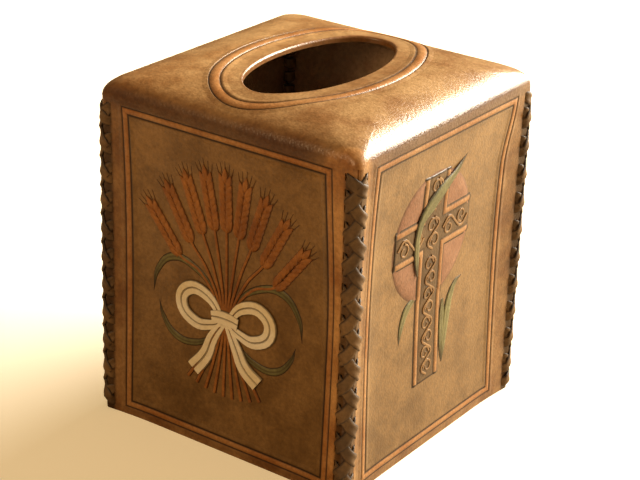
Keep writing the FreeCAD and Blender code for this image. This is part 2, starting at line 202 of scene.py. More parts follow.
def dyed_leather(name, light, deep, stain="#2a190b", roughness=0.42, pores=0.16, wax=0.2, dapple=(0.44, 0.67),
                 recolour=None):
    """A leather that is clouded between two tones, with antique stain where the groove attribute says."""
    material = bpy.data.materials.new(name)
    material.use_nodes = True
    tree = material.node_tree
    tree.nodes.clear()
    place = add_node(tree, "TexCoord").outputs["Object"]
    cloud = add_node(tree, "TexNoise", {}, {
        "Vector": place, "Scale": 1 / CLOUD, "Detail": 5.0, "Roughness": 0.62})
    speckle = add_node(tree, "TexNoise", {}, {
        "Vector": place, "Scale": 1 / SPECKLE, "Detail": 3.0, "Roughness": 0.6})
    pore = add_node(tree, "TexVoronoi", {"feature": "SMOOTH_F1"}, {
        "Vector": place, "Scale": 1 / PORE, "Smoothness": 0.6})
    clouded = add_node(tree, "MapRange", SMOOTH, zip(RAMP, (cloud.outputs["Fac"], *CLOUD_ENDS)))
    tone = add_node(tree, "Mix", RGBA, {
        0: clouded.outputs[0], 6: paint(deep), 7: paint(light)})
    colour, bare = tone.outputs[2], 0.0
    if recolour:
        colour, bare = recolour(tree, place, clouded.outputs[0], colour)
    fleck = add_node(tree, "MapRange", {}, zip(RAMP, (speckle.outputs["Fac"], *SPECKLE_ENDS, *dapple)))
    dappled = add_node(tree, "VectorMath", SCALED, {
        0: colour, "Scale": fleck.outputs[0]})
    groove = add_node(tree, "Attribute", {"attribute_name": "groove"})
    matt = add_node(tree, "Math", {"operation": "MAXIMUM"}, {0: groove.outputs["Fac"], 1: bare})
    coat = add_node(tree, "Math", {"operation": "MULTIPLY_ADD"}, {0: matt.outputs[0], 1: -wax, 2: wax})
    stained = add_node(tree, "Mix", RGBA, {
        0: groove.outputs["Fac"], 6: dappled.outputs[0], 7: paint(stain)})
    gloss = add_node(tree, "MapRange", {}, zip(RAMP, (
        speckle.outputs["Fac"], *GLOSS_ENDS, roughness - GLOSSIER, roughness + DULLER)))
    height = add_node(tree, "Math", {"operation": "MULTIPLY_ADD"}, {
        0: speckle.outputs["Fac"], 1: SPECKLE_HEIGHT, 2: pore.outputs["Distance"]})
    grain = add_node(tree, "Bump", {}, {
        "Strength": pores, "Distance": GRAIN_DEPTH, "Height": height.outputs[0]})
    surface = add_node(tree, "BsdfPrincipled", {}, {
        "Base Color": stained.outputs[2], "Roughness": gloss.outputs[0], "IOR": LEATHER_IOR,
        "Normal": grain.outputs[0], "Coat Weight": coat.outputs[0], "Coat Roughness": WAX_ROUGHNESS,
        "Coat Normal": grain.outputs[0]})
    add_node(tree, "OutputMaterial", {}, {"Surface": surface.outputs[0]})
    return material


# %% [markdown]
# ## The cover's own leather
#
# The cover is the imported solid itself, because its folds, crown and sunken walls are already right. Only its
# finish is new. Seven zones differ. The matted field inside each border is dyed a cooler olive tan. The crown
# of the top is painted paler, most on its left, as painted light from the window. The folds are painted darker
# as shade, most near the camera, and the strip beside the near corner is painted pale as light. The margins
# under the laces are dark from their dye and from painted shade. The flesh side is undyed, and the cut edge of
# the opening is burnished. The zones come from Object coordinates, which are the same millimetres as in the
# solid, so the field ends exactly under the border. Only the flesh side is told by its normals.

# %% Places on the cover
WALL = leather.dimensions.x / 2
BORDER_INSET = 13.3 * MM
BORDER_LOW, BORDER_HIGH = 5.2 * MM, 134.9 * MM
OPENING = Vector((43, 84)) * MM
FRONT_DRIFT, RIGHT_DRIFT = 2.2, -3.8
FRONT_DRIFT_ENDS, RIGHT_DRIFT_ENDS = (70, 134), (108, 134)
print(f"a border is {2 * (WALL - BORDER_INSET) / MM:.1f} by {(BORDER_HIGH - BORDER_LOW) / MM:.1f} mm")

# %% Olive field inside each border
FIELD_NEAR, FIELD_FAR = 0.8 * MM, 1.6 * MM
FIELD_SHADES = 0.9, 1.14
ON_WALL, BESIDE_MIDDLE = 0.75 * WALL, 0.3 * WALL


def drifted(tree, up, wall, side, amount, ends):
    """How far a border's band leaves its straight line, where its wall's and side's coordinates are high."""
    there = add_node(tree, "Math", {"operation": "GREATER_THAN"}, {0: wall, 1: ON_WALL})
    beside = add_node(tree, "Math", {"operation": "GREATER_THAN"}, {0: side, 1: BESIDE_MIDDLE})
    share = add_node(tree, "MapRange", SMOOTH, zip(RAMP, (
        up, ends[0] * MM, ends[1] * MM, -amount * MM, 0.0)))
    both = add_node(tree, "Math", TIMES, {0: there.outputs[0], 1: beside.outputs[0]})
    return add_node(tree, "Math", TIMES, {0: both.outputs[0], 1: share.outputs[0]}).outputs[0]


def dye_field(tree, axes, across, to_front, clouded, colour):
    """Olive dye inside each border, paler towards the top."""
    right, back, up = axes
    on_front = drifted(tree, up, to_front, right, FRONT_DRIFT, FRONT_DRIFT_ENDS)
    on_right = drifted(tree, up, right, back, RIGHT_DRIFT, RIGHT_DRIFT_ENDS)
    drift = add_node(tree, "Math", {"operation": "ADD"}, {0: on_front, 1: on_right})
    straight = add_node(tree, "Math", {"operation": "ADD"}, {0: across, 1: drift.outputs[0]})
    band = WALL - BORDER_INSET
    between = add_node(tree, "MapRange", SMOOTH, zip(RAMP, (
        straight.outputs[0], band - FIELD_FAR, band - FIELD_NEAR, 1.0, 0.0)))
    over_foot = add_node(tree, "MapRange", SMOOTH, zip(RAMP, (
        up, BORDER_LOW + FIELD_NEAR, BORDER_LOW + FIELD_FAR)))
    under_fold = add_node(tree, "MapRange", SMOOTH, zip(RAMP, (
        up, BORDER_HIGH - FIELD_FAR, BORDER_HIGH - FIELD_NEAR, 1.0, 0.0)))
    field = add_node(tree, "Math", TIMES, {0: between.outputs[0], 1: over_foot.outputs[0]})
    field = add_node(tree, "Math", TIMES, {0: field.outputs[0], 1: under_fold.outputs[0]})
    olive = add_node(tree, "Mix", RGBA, {0: clouded, 6: paint("#8f6a39"), 7: paint("#b88f58")})
    shade = add_node(tree, "MapRange", {}, zip(RAMP, (up, BORDER_LOW, BORDER_HIGH, *FIELD_SHADES)))
    faded = add_node(tree, "VectorMath", SCALED, {0: olive.outputs[2], "Scale": shade.outputs[0]})
    return add_node(tree, "Mix", RGBA, {
        0: field.outputs[0], 6: colour, 7: faded.outputs[0]}).outputs[2]


# %% Painted light on the crown, painted shade on the folds
CROWN_ENDS, CROWN_LIGHT_SHARE = (141.8 * MM, 147 * MM), 0.8
LEFT_ENDS, LEFT_LIGHT_SCALES = (-50 * MM, 10 * MM), (1.4, 1.04)
FOLD_BELOW, FOLD_ABOVE, FOLD_SHADE = (134 * MM, 138 * MM), (140.5 * MM, 145 * MM), 0.7
NEAR_HALF, NEAR_HALF_SHADE = (-20 * MM, 20 * MM), (0.15, 1.0)
NEAR_TIP, NEAR_TIP_SHADE = (98 * MM, 116 * MM), (1.0, 0.25)


def paint_crown_light(tree, axes, clouded, colour):
    """The top's crown is painted paler as light from the window, most on its left side."""
    right, _, up = axes
    # Painted light: the crown is mixed towards a pale tone, and the left side is scaled paler still
    crown = add_node(tree, "MapRange", SMOOTH, zip(RAMP, (up, *CROWN_ENDS, 0.0, CROWN_LIGHT_SHARE)))
    pale = add_node(tree, "Mix", RGBA, {0: clouded, 6: paint("#b37f47"), 7: paint("#e2b478")})
    to_left = add_node(tree, "MapRange", SMOOTH, zip(RAMP, (right, *LEFT_ENDS, *LEFT_LIGHT_SCALES)))
    paler = add_node(tree, "VectorMath", SCALED, {0: pale.outputs[2], "Scale": to_left.outputs[0]})
    return add_node(tree, "Mix", RGBA, {
        0: crown.outputs[0], 6: colour, 7: paler.outputs[0]}).outputs[2]


def shade_folds(tree, axes, to_front, colour):
    """Painted shade on the rolled folds, most on the half nearest to the camera, little at its corner, left
    pale for the highlight.
    """
    right, _, up = axes
    rolled = add_node(tree, "MapRange", SMOOTH, zip(RAMP, (up, *FOLD_BELOW, 0.0, FOLD_SHADE)))
    under_top = add_node(tree, "MapRange", SMOOTH, zip(RAMP, (up, *FOLD_ABOVE, 1.0, 0.0)))
    to_corner = add_node(tree, "Math", {"operation": "ADD"}, {0: right, 1: to_front})
    share = add_node(tree, "Math", TIMES, {0: rolled.outputs[0], 1: under_top.outputs[0]})
    # Painted shade is full on the half nearest to the camera and little at its corner, which stays pale as
    # painted highlight
    for ends, stain in ((NEAR_HALF, NEAR_HALF_SHADE), (NEAR_TIP, NEAR_TIP_SHADE)):
        shaded = add_node(tree, "MapRange", SMOOTH, zip(RAMP, (to_corner.outputs[0], *ends, *stain)))
        share = add_node(tree, "Math", TIMES, {0: share.outputs[0], 1: shaded.outputs[0]})
    return add_node(tree, "Mix", RGBA, {0: share.outputs[0], 6: colour, 7: paint("#54290f")}).outputs[2]


# %% Painted light beside the near corner, and dark margins under the laces
LIT_STRIP_WAY, LIT_STRIP_ENDS, LIT_STRIP_SCALE = (1, -2, 0), (168 * MM, 174 * MM), 1.8
MARGIN_ENDS, MARGIN_DYE_AND_SHADE = (WALL - 7.2 * MM, WALL - 5.2 * MM), 0.85
MARGIN_TOP = 131 * MM, 137 * MM


def light_strip_and_margins(tree, place, up, across, colour):
    """Painted light at the near corner, and laced margins darkened by dye and painted shade. Gives those
    margins too.
    """
    # Painted light: the front strip and the fold at the near corner are brightened, up to 1.8 times
    beside = add_node(tree, "VectorMath", {"operation": "DOT_PRODUCT"}, {0: place, 1: LIT_STRIP_WAY})
    lit_strip = add_node(tree, "MapRange", SMOOTH, zip(RAMP, (
        beside.outputs["Value"], *LIT_STRIP_ENDS, 1.0, LIT_STRIP_SCALE)))
    paler = add_node(tree, "VectorMath", SCALED, {0: colour, "Scale": lit_strip.outputs[0]})
    # The laced margins are darkened for their dark dye and for the painted shade among the laces
    laced = add_node(tree, "MapRange", SMOOTH, zip(RAMP, (across, *MARGIN_ENDS, 0.0, MARGIN_DYE_AND_SHADE)))
    upright = add_node(tree, "MapRange", SMOOTH, zip(RAMP, (up, *MARGIN_TOP, 1.0, 0.0)))
    margins = add_node(tree, "Math", TIMES, {0: laced.outputs[0], 1: upright.outputs[0]})
    stained = add_node(tree, "Mix", RGBA, {
        0: margins.outputs[0], 6: paler.outputs[0], 7: paint("#3f2812")})
    return stained.outputs[2], margins.outputs[0]


# %% Flesh side and cut edge
CUT_ENDS, CUT_LOWEST = (1.02, 1.05), 143 * MM


def show_inside(tree, place, up, clouded, colour):
    """The flesh side, found by its normal, and the cut edge of the opening, found by the oval."""
    outward = add_node(tree, "VectorMath", {"operation": "SUBTRACT"}, {0: place, 1: COVER_MIDDLE})
    facing = add_node(tree, "NewGeometry")
    turned = add_node(tree, "VectorMath", {"operation": "DOT_PRODUCT"}, {
        0: outward.outputs[0], 1: facing.outputs["Normal"]})
    flesh = add_node(tree, "Math", {"operation": "LESS_THAN"}, {0: turned.outputs["Value"], 1: 0.0})
    fuzz = add_node(tree, "Mix", RGBA, {0: clouded, 6: paint("#c79b78"), 7: paint("#e6c49c")})
    fleshed = add_node(tree, "Mix", RGBA, {0: flesh.outputs[0], 6: colour, 7: fuzz.outputs[2]})

    oval = add_node(tree, "VectorMath", {"operation": "DIVIDE"}, {
        0: place, 1: (OPENING.x / 2, OPENING.y / 2, 1.0)})
    flat = add_node(tree, "VectorMath", TIMES, {0: oval.outputs[0], 1: (1, 1, 0)})
    reach = add_node(tree, "VectorMath", {"operation": "LENGTH"}, {0: flat.outputs[0]})
    near = add_node(tree, "MapRange", {}, zip(RAMP, (reach.outputs["Value"], *CUT_ENDS, 1.0, 0.0)))
    high = add_node(tree, "Math", {"operation": "GREATER_THAN"}, {0: up, 1: CUT_LOWEST})
    edge = add_node(tree, "Math", TIMES, {0: near.outputs[0], 1: high.outputs[0]})
    return add_node(tree, "Mix", RGBA, {
        0: edge.outputs[0], 6: fleshed.outputs[2], 7: paint("#a8733f")}).outputs[2]


# %% All zones on the cover
def cover_zones(tree, place, clouded, colour):
    """The cover's colour by zones, with natural tan bands by attribute, and how bare of wax it is."""
    axes = add_node(tree, "SeparateXYZ", {}, {0: place}).outputs
    far_x = add_node(tree, "Math", {"operation": "ABSOLUTE"}, {0: axes[0]})
    far_y = add_node(tree, "Math", {"operation": "ABSOLUTE"}, {0: axes[1]})
    across = add_node(tree, "Math", {"operation": "MINIMUM"}, {0: far_x.outputs[0], 1: far_y.outputs[0]})
    to_front = add_node(tree, "Math", TIMES, {0: axes[1], 1: -1.0})
    colour = dye_field(tree, axes, across.outputs[0], to_front.outputs[0], clouded, colour)
    # Painted light on the crown and beside the near corner, painted shade on the folds, dye and painted shade
    # in the laced margins
    colour = paint_crown_light(tree, axes, clouded, colour)
    colour = shade_folds(tree, axes, to_front.outputs[0], colour)
    colour, bare = light_strip_and_margins(tree, place, axes[2], across.outputs[0], colour)
    natural = add_node(tree, "Mix", RGBA, {0: clouded, 6: paint("#d08843"), 7: paint("#ecae6c")})
    dye = add_node(tree, "Attribute", {"attribute_name": "dye"})
    banded = add_node(tree, "Mix", RGBA, {0: dye.outputs["Fac"], 6: colour, 7: natural.outputs[2]})
    return show_inside(tree, place, axes[2], clouded, banded.outputs[2]), bare


# Vegetable-tanned cowhide, antiqued and waxed: brown clouds, dark cuts and a broad soft gloss on its folds
saddle = dyed_leather("antiqued_saddle_leather", "#c99a62", "#976330", roughness=0.34, wax=0.62,
                      recolour=cover_zones)
leather.material_slots[0].material = saddle
print("cover finish:", saddle.name, len(saddle.node_tree.nodes), "nodes")

# %% [markdown]
# ## Tooled relief
#
# A border line is cut with a swivel knife, and its edges are pressed down with a beveller, so the band stands
# between two dark grooves. By hand in Blender this is a flat outline that is inset step after step, each new
# loop moved up or down. The helper below does the insets and notes for every loop how high it stands and how
# much stain or dye it holds. Afterwards the flat piece is laid onto the sunken leather: each vertex is moved
# back by the depth that a ray finds behind it.

# %% Helpers for relief on a wall
OUTWARD = Vector((0, -1, 0))
NOTES = "rise", "groove", "dye"
SMOOTH_UNDER = math.radians(40)


def choose(piece):
    """Selects one piece alone and makes it the active one."""
    bpy.ops.object.select_all(action="DESELECT")
    piece.select_set(True)
    bpy.context.view_layer.objects.active = piece


def sized(name, scale=(1, 1, 1)):
    """Names the primitive that was just added and applies its size, so that insets are even all round."""
    piece = bpy.context.object
    piece.name = name
    piece.scale = scale
    bpy.ops.object.transform_apply(location=True, rotation=True, scale=True)
    return piece


def pick(piece, kind, test):
    """In edit mode, selects just the verts or edges that pass a test."""
    bpy.ops.mesh.select_mode(type={"verts": "VERT", "edges": "EDGE"}[kind])
    bpy.ops.mesh.select_all(action="DESELECT")
    shape = bmesh.from_edit_mesh(piece.data)
    for item in getattr(shape, kind):
        item.select_set(test(item))
    shape.select_flush_mode()
    bmesh.update_edit_mesh(piece.data)


def tool_rings(piece, rings):
    """Insets all faces ring by ring. A ring is its width in mm, its rise in mm, its stain and its dye."""
    bpy.ops.object.mode_set(mode="EDIT")
    shape = bmesh.from_edit_mesh(piece.data)
    for layer in NOTES:
        shape.verts.layers.float.new(layer)
    bmesh.update_edit_mesh(piece.data)
    bpy.ops.mesh.select_mode(type="FACE")
    bpy.ops.mesh.select_all(action="SELECT")
    for width, rise, groove, dye in rings:
        if width:
            bpy.ops.mesh.inset(thickness=width * MM)
        shape = bmesh.from_edit_mesh(piece.data)
        notes = [shape.verts.layers.float[layer] for layer in NOTES]
        for vertex in shape.verts:
            if vertex.select:
                for note, value in zip(notes, (rise * MM, groove, dye)):
                    vertex[note] = value
        bmesh.update_edit_mesh(piece.data)


def cut_long_edges(piece, longest):
    """Cuts the edges that are longer than a length, so that the piece can follow the leather."""
    def too_long(edge):
        return edge.calc_length() > longest * MM

    while any(map(too_long, bmesh.from_edit_mesh(piece.data).edges)):
        pick(piece, "edges", too_long)
        bpy.ops.mesh.subdivide(number_cuts=1)


def raise_relief(piece, direction):
    """Back in object mode, moves each vertex out by the rise that was noted for it."""
    bpy.ops.object.mode_set(mode="OBJECT")
    rise = piece.data.attributes["rise"].data
    for vertex in piece.data.vertices:
        vertex.co += direction * rise[vertex.index].value


def lay_on_wall(piece, lift=None):
    """Moves a piece made on the front wall's flat plane back onto the sunken leather behind it."""
    for vertex in piece.data.vertices:
        _, spot, _, _ = leather.ray_cast((vertex.co.x, -2 * WALL, vertex.co.z), -OUTWARD)
        vertex.co.y += spot.y + WALL
        if lift:
            vertex.co.y -= lift(vertex.co.x / MM, vertex.co.z / MM) * MM


def finish_piece(piece, material):
    """Smooth shading, a finish and a seat on the cover."""
    choose(piece)
    bpy.ops.object.shade_smooth_by_angle(angle=SMOOTH_UNDER)
    piece.data.materials.clear()
    piece.data.materials.append(material)
    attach(piece, "root")
    print(f"{piece.name}: {len(piece.data.polygons)} faces")


def turned_copy(piece, name, quarters):
    """A copy with its own mesh, turned round the cover by quarter turns."""
    copy = piece.copy()
    copy.data = piece.data.copy()
    copy.name = name
    bpy.context.scene.collection.objects.link(copy)
    copy.data.transform(Matrix.Rotation(quarters * math.pi / 2, 4, "Z"))
    return copy


# %% [markdown]
# ## Borders
#
# Every wall has one border: a natural tan band 2.6 mm wide between two grooves. It starts as a plane of the
# border's outside size. Twelve insets make the shoulder, groove, band, groove and inner shoulder, and the
# face that is left in the middle is deleted, so the leather of the wall shows there. The shoulders run out at
# the level of the leather and carry the cover's own finish, so no edge is seen. Hand-cut borders are not
# quite straight: the right band of the front one and the far band of the right one drift a few millimetres as
# they come down.

# %% Model the border, and let it drift on two walls
def drift_band(piece, amount, ends):
    """Moves a border's right band sideways by an amount in mm, all of it under the lower of two heights."""
    low, high = ends
    for vertex in piece.data.vertices:
        fallen = min(1.0, max(0.0, (high - vertex.co.z / MM) / (high - low)))
        beside = min(1.0, max(0.0, vertex.co.x / (WALL - BORDER_INSET)))
        vertex.co.x += amount * MM * beside * fallen * fallen * (3 - 2 * fallen)


BORDER_RINGS = [
    (0.0, -0.10, 0.0, 0.0),
    (1.9, 0.26, 0.0, 0.0),
    (0.5, 0.30, 0.15, 0.0),
    (0.35, 0.06, 0.95, 0.1),
    (0.25, 0.06, 0.95, 0.4),
    (0.4, 0.30, 0.12, 1.0),
    (0.9, 0.36, 0.0, 1.0),
    (0.9, 0.30, 0.12, 1.0),
    (0.4, 0.05, 0.95, 0.4),
    (0.4, 0.05, 0.98, 0.1),
    (0.4, 0.28, 0.25, 0.0),
    (0.5, 0.24, 0.0, 0.0),
    (1.9, -0.10, 0.0, 0.0),
]
TO_BAND_MIDDLE = 7
BORDER_CUT = 3.0
outer_part = sum(ring[0] for ring in BORDER_RINGS[:TO_BAND_MIDDLE]) * MM
border_size = Vector((2 * (WALL - BORDER_INSET + outer_part), BORDER_HIGH - BORDER_LOW + 2 * outer_part))

bpy.ops.mesh.primitive_plane_add(size=1, location=(0, -WALL, (BORDER_LOW + BORDER_HIGH) / 2),
                                 rotation=(math.pi / 2, 0, 0))
border = sized("tooled_border_front", (border_size.x, border_size.y, 1))
tool_rings(border, BORDER_RINGS)
bpy.ops.mesh.delete(type="FACE")
cut_long_edges(border, BORDER_CUT)
raise_relief(border, OUTWARD)
DRIFTS = {"right": (RIGHT_DRIFT, RIGHT_DRIFT_ENDS), "back": None, "left": None}
for number, (side, drift) in enumerate(DRIFTS.items(), start=1):
    other = turned_copy(border, f"tooled_border_{side}", 0)
    if drift:
        drift_band(other, *drift)
    lay_on_wall(other)
    other.data.transform(Matrix.Rotation(number * math.pi / 2, 4, "Z"))
    finish_piece(other, saddle)
drift_band(border, FRONT_DRIFT, FRONT_DRIFT_ENDS)
lay_on_wall(border)
finish_piece(border, saddle)

# %% [markdown]
# ## Ring round the opening
#
# The top has the same band, 4 mm wide, as an oval 9.5 mm outside the opening. A circle scaled to the ring's
# outside is inset inwards in the same way, and the middle is deleted. The top is crowned, so this piece is
# laid onto it by rays from above.

# %% Model the ring
RING_RINGS = [
    (0.0, -0.10, 0.0, 0.0),
    (2.0, 0.30, 0.0, 0.0),
    (0.5, 0.34, 0.2, 0.0),
    (0.4, 0.05, 0.9, 0.1),
    (0.3, 0.05, 0.9, 0.5),
    (0.4, 0.40, 0.1, 1.0),
    (1.6, 0.55, 0.0, 1.0),
    (1.6, 0.40, 0.05, 1.0),
    (0.4, 0.05, 0.7, 0.5),
    (0.5, 0.05, 0.85, 0.1),
    (0.5, 0.34, 0.15, 0.0),
    (0.5, 0.30, 0.0, 0.0),
    (2.0, -0.10, 0.0, 0.0),
]
TO_BAND = 5
BAND_OUTSIDE = 13.5 * MM
ABOVE = 200 * MM
ring_reach = BAND_OUTSIDE + sum(ring[0] for ring in RING_RINGS[:TO_BAND]) * MM

bpy.ops.mesh.primitive_circle_add(vertices=192, radius=1, fill_type="NGON")
oval_ring = sized("tooled_ring_top", (OPENING.x / 2 + ring_reach, OPENING.y / 2 + ring_reach, 1))
tool_rings(oval_ring, RING_RINGS)
bpy.ops.mesh.delete(type="FACE")
raise_relief(oval_ring, Vector((0, 0, 1)))
for vertex in oval_ring.data.vertices:
    _, spot, _, _ = leather.ray_cast((vertex.co.x, vertex.co.y, ABOVE), (0, 0, -1))
    vertex.co.z += spot.z
finish_piece(oval_ring, saddle)

# %% [markdown]
# ## Strips
#
# Stems, leaves, ribbons and laces are all strips: a smooth line with a cross-section that grows and shrinks
# along it. By hand that is a curve with a bevel object, and the radius of each point sets the width. The
# curve is made a mesh as soon as it is drawn. The relief strips have a thin flange at both edges. It lies on
# the leather and takes the antique stain, as the knife cut round a real tooled leaf does.

# %% Helpers for strips
MOST_STAIN = 1.15


def section_curve(name, points, steps=1):
    """A closed outline in mm, used as the cross-section of a strip."""
    outline = bpy.data.curves.new(name, "CURVE")
    outline.dimensions = "2D"
    spline = outline.splines.new("BEZIER")
    spline.bezier_points.add(len(points) - 1)
    for point, (x, y) in zip(spline.bezier_points, points):
        point.co = (x * MM, y * MM, 0)
        point.handle_left_type = point.handle_right_type = "AUTO"
    spline.use_cyclic_u = True
    outline.resolution_u = steps
    section = bpy.data.objects.new(name, outline)
    bpy.context.scene.collection.objects.link(section)
    return section


def mesh_of(curve):
    """The mesh that a drawn curve turns into, as a piece with the curve's name."""
    piece = bpy.data.objects.new(curve.name, curve)
    bpy.context.scene.collection.objects.link(piece)
    choose(piece)
    bpy.ops.object.convert(target="MESH")
    return bpy.context.object


def strips(name, section, lines, steps=5):
    """Strips along smooth lines, as one mesh. A point of a line is its place in mm and its width factor."""
    drawn = bpy.data.curves.new(name, "CURVE")
    drawn.dimensions = "3D"
    drawn.twist_mode = "Z_UP"
    drawn.resolution_u = steps
    drawn.bevel_mode = "OBJECT"
    drawn.bevel_object = section
    drawn.use_fill_caps = True
    for line in lines:
        spline = drawn.splines.new("BEZIER")
        spline.bezier_points.add(len(line) - 1)
        for point, (x, y, z, width) in zip(spline.bezier_points, line):
            point.co = Vector((x, y, z)) * MM
            point.radius = width
            point.handle_left_type = point.handle_right_type = "AUTO"
    return mesh_of(drawn)


def stain_low_parts(piece, clean=0.3):
    """Notes antique stain on a piece of the front wall's plane where it stands lower than a height in mm."""
    groove = piece.data.attributes.new("groove", "FLOAT", "POINT")
    for vertex in piece.data.vertices:
        stands = (-vertex.co.y - WALL) / MM
        groove.data[vertex.index].value = min(1.0, max(0.0, MOST_STAIN - stands / clean))


def relief_strips(name, section, lines, lift=None):
    """Strips on the front wall. A point of a line is across, up and half width in mm."""
    piece = strips(name, section, [[(x, y, 0, half) for x, y, half in line] for line in lines])
    piece.data.transform(Matrix.Translation(OUTWARD * WALL) @ Matrix.Rotation(math.pi / 2, 4, "X"))
    stain_low_parts(piece)
    lay_on_wall(piece, lift)
    return piece


def half_section(name, points):
    """A cross-section that is the same on both sides, from the points of its right half, edge first."""
    return section_curve(name, points + [(-x, y) for x, y in reversed(points) if x])


leaf_section = half_section("leaf_section", [
    (1, -0.04), (0.97, 0.02), (0.84, 0.03), (0.74, 0.13), (0.4, 0.19), (0, 0.1)])
stem_section = half_section("stem_section", [(1, -0.1), (0.98, 0.06), (0.74, 0.1), (0.6, 0.52), (0, 0.72)])
band_section = half_section("band_section", [
    (1, -0.05), (0.98, 0.02), (0.9, 0.03), (0.84, 0.2), (0.5, 0.22), (0.15, 0.2), (0.08, 0.05), (0, 0.04)])
print("sections:", leaf_section.name, stem_section.name, band_section.name)

# %% [markdown]
# ## The right wall's cross
#
# The right wall has a plain Latin cross with a disc behind it and a few leaves. All of it is first made on
# the front wall, whose plane is easy to work in, and then turned a quarter round the cover. The disc is a
# circle that is inset ring by ring to its middle, so that it can follow the sunken leather. The cross starts
# as the plane of its shaft. Two cuts mark the height of the arms, and the short edges between them are pulled
# out sideways. Its rings are an outline, a raised tan strip, a second groove and a dark field. On the real
# cover the strips run out at the ends instead of closing round them, so the cross is made too long, its ends
# are cut off, and a dark line is cut across each.

# %% Disc
# Spirit dye, wiped on thin: a dusty pink through which the tan still shows
salmon = dyed_leather("salmon_dyed_leather", "#c99572", "#b27c5a")
DISC_MIDDLE, DISC_RADIUS = Vector((-4.7, 93.3)), 27.7
DISC_RISE, DISC_EDGE = 0.3, 0.8
DISC_STEP, DISC_STEPS = 3.6, 7
DISC_RINGS = [
    (0.0, -0.1, 0.3, 0.0), (0.4, 0.05, 0.4, 0.0), (0.4, 0.08, 0.35, 0.0), (0.8, DISC_RISE, 0.0, 0.0)]
DISC_RINGS += [(DISC_STEP, DISC_RISE, 0.0, 0.0)] * DISC_STEPS


def on_right_wall(piece, material):
    """Turns a piece from the front wall to the right wall and finishes it."""
    piece.data.transform(Matrix.Rotation(math.pi / 2, 4, "Z"))
    finish_piece(piece, material)


bpy.ops.mesh.primitive_circle_add(vertices=128, radius=DISC_RADIUS * MM, fill_type="NGON",
                                  location=(DISC_MIDDLE.x * MM, -WALL, DISC_MIDDLE.y * MM),
                                  rotation=(math.pi / 2, 0, 0))
disc = sized("tooled_disc_right")
tool_rings(disc, DISC_RINGS)
raise_relief(disc, OUTWARD)
lay_on_wall(disc)
on_right_wall(disc, salmon)

# %% Cross
CROSS_MIDDLE = -4.4
SHAFT_HALF, SHAFT_LOW, SHAFT_HIGH = 9.8, 29.4, 120.0
ARM_REACH, ARM_LOW, ARM_HIGH = 27.0, 85.6, 103.4
CUT_OFF, TOUCH = 5.0, 0.01
END_EDGE, END_LINE, END_FADE, END_STAIN = 0.25, 0.8, 1.2, 0.95
CROSS_RINGS = [
    (0.0, -0.10, 0.7, 0.0), (0.45, 0.05, 0.9, 0.0), (0.45, 0.08, 0.9, 0.2), (0.5, 0.36, 0.12, 0.85),
    (0.9, 0.44, 0.0, 0.85), (0.9, 0.36, 0.1, 0.85), (0.5, 0.12, 0.85, 0.2), (0.4, 0.12, 0.8, 0.0),
    (0.5, 0.18, 0.6, 0.0), (1.2, 0.2, 0.55, 0.0)]


def over_disc(across, up):
    """Rise in mm of a piece where it lies over the disc."""
    inside = DISC_RADIUS - DISC_EDGE - (Vector((across, up)) - DISC_MIDDLE).length
    return DISC_RISE * min(1.0, max(0.0, inside))


def on_arm(edge, side):
    """Whether an edge is the upright one between the two cuts, on a side of the shaft."""
    middle = (edge.verts[0].co + edge.verts[1].co) / 2 / MM
    return abs(middle.x - CROSS_MIDDLE - side * SHAFT_HALF) < TOUCH and ARM_LOW < middle.z < ARM_HIGH


shaft_middle = (CROSS_MIDDLE * MM, -WALL, (SHAFT_LOW + SHAFT_HIGH) / 2 * MM)
bpy.ops.mesh.primitive_plane_add(size=1, location=shaft_middle, rotation=(math.pi / 2, 0, 0))
shaft_size = (2 * SHAFT_HALF * MM, (SHAFT_HIGH - SHAFT_LOW + 2 * CUT_OFF) * MM, 1)
cross = sized("tooled_cross_right", shaft_size)
bpy.ops.object.mode_set(mode="EDIT")
for cut in (ARM_LOW, ARM_HIGH):
    bpy.ops.mesh.select_all(action="SELECT")
    bpy.ops.mesh.bisect(plane_co=(0, 0, cut * MM), plane_no=(0, 0, 1))
for side in (-1, 1):
    pick(cross, "edges", lambda edge: on_arm(edge, side))
    bpy.ops.mesh.extrude_region_move(
        TRANSFORM_OT_translate={"value": (side * (ARM_REACH + CUT_OFF - SHAFT_HALF) * MM, 0, 0)})
tool_rings(cross, CROSS_RINGS)
CROSS_ENDS = [((CROSS_MIDDLE - ARM_REACH, 0, 0), (-1, 0, 0)), ((CROSS_MIDDLE + ARM_REACH, 0, 0), (1, 0, 0)),
              ((0, 0, SHAFT_LOW), (0, 0, -1)), ((0, 0, SHAFT_HIGH), (0, 0, 1))]
for place, outward in CROSS_ENDS:
    place, outward = Vector(place) * MM, Vector(outward)
    for inward in (0, END_EDGE, END_LINE, END_FADE):
        bpy.ops.mesh.select_all(action="SELECT")
        bpy.ops.mesh.bisect(plane_co=place - outward * inward * MM, plane_no=outward, clear_outer=inward == 0)
    shape = bmesh.from_edit_mesh(cross.data)
    rise, groove, dye = (shape.verts.layers.float[layer] for layer in NOTES)
    for vertex in shape.verts:
        inward = (place - vertex.co).dot(outward) / MM
        if inward < END_LINE + TOUCH:
            vertex[groove], vertex[dye] = END_STAIN, 0.0
        if inward < END_EDGE / 2:
            vertex[rise] = CROSS_RINGS[0][1] * MM
    bmesh.update_edit_mesh(cross.data)
cut_long_edges(cross, BORDER_CUT)
raise_relief(cross, OUTWARD)
lay_on_wall(cross, over_disc)
on_right_wall(cross, saddle)

# %% Scrolls in the cross
# Green dye over tan: a greyed sage, as thin as a stain
sage = dyed_leather("sage_dyed_leather", "#ada870", "#898758")
WAVE_HALF, CURL_HALF, CURL_THINS = 0.8, 0.75, 0.04
CURL_POINTS, CURL_TURN = 7, math.radians(62)
CURL_SET, CURL_REACH, CURL_CLOSES = 0.35, 0.95, 0.1
SCROLL_RISE, SCROLL_DYE = 0.1, 0.25


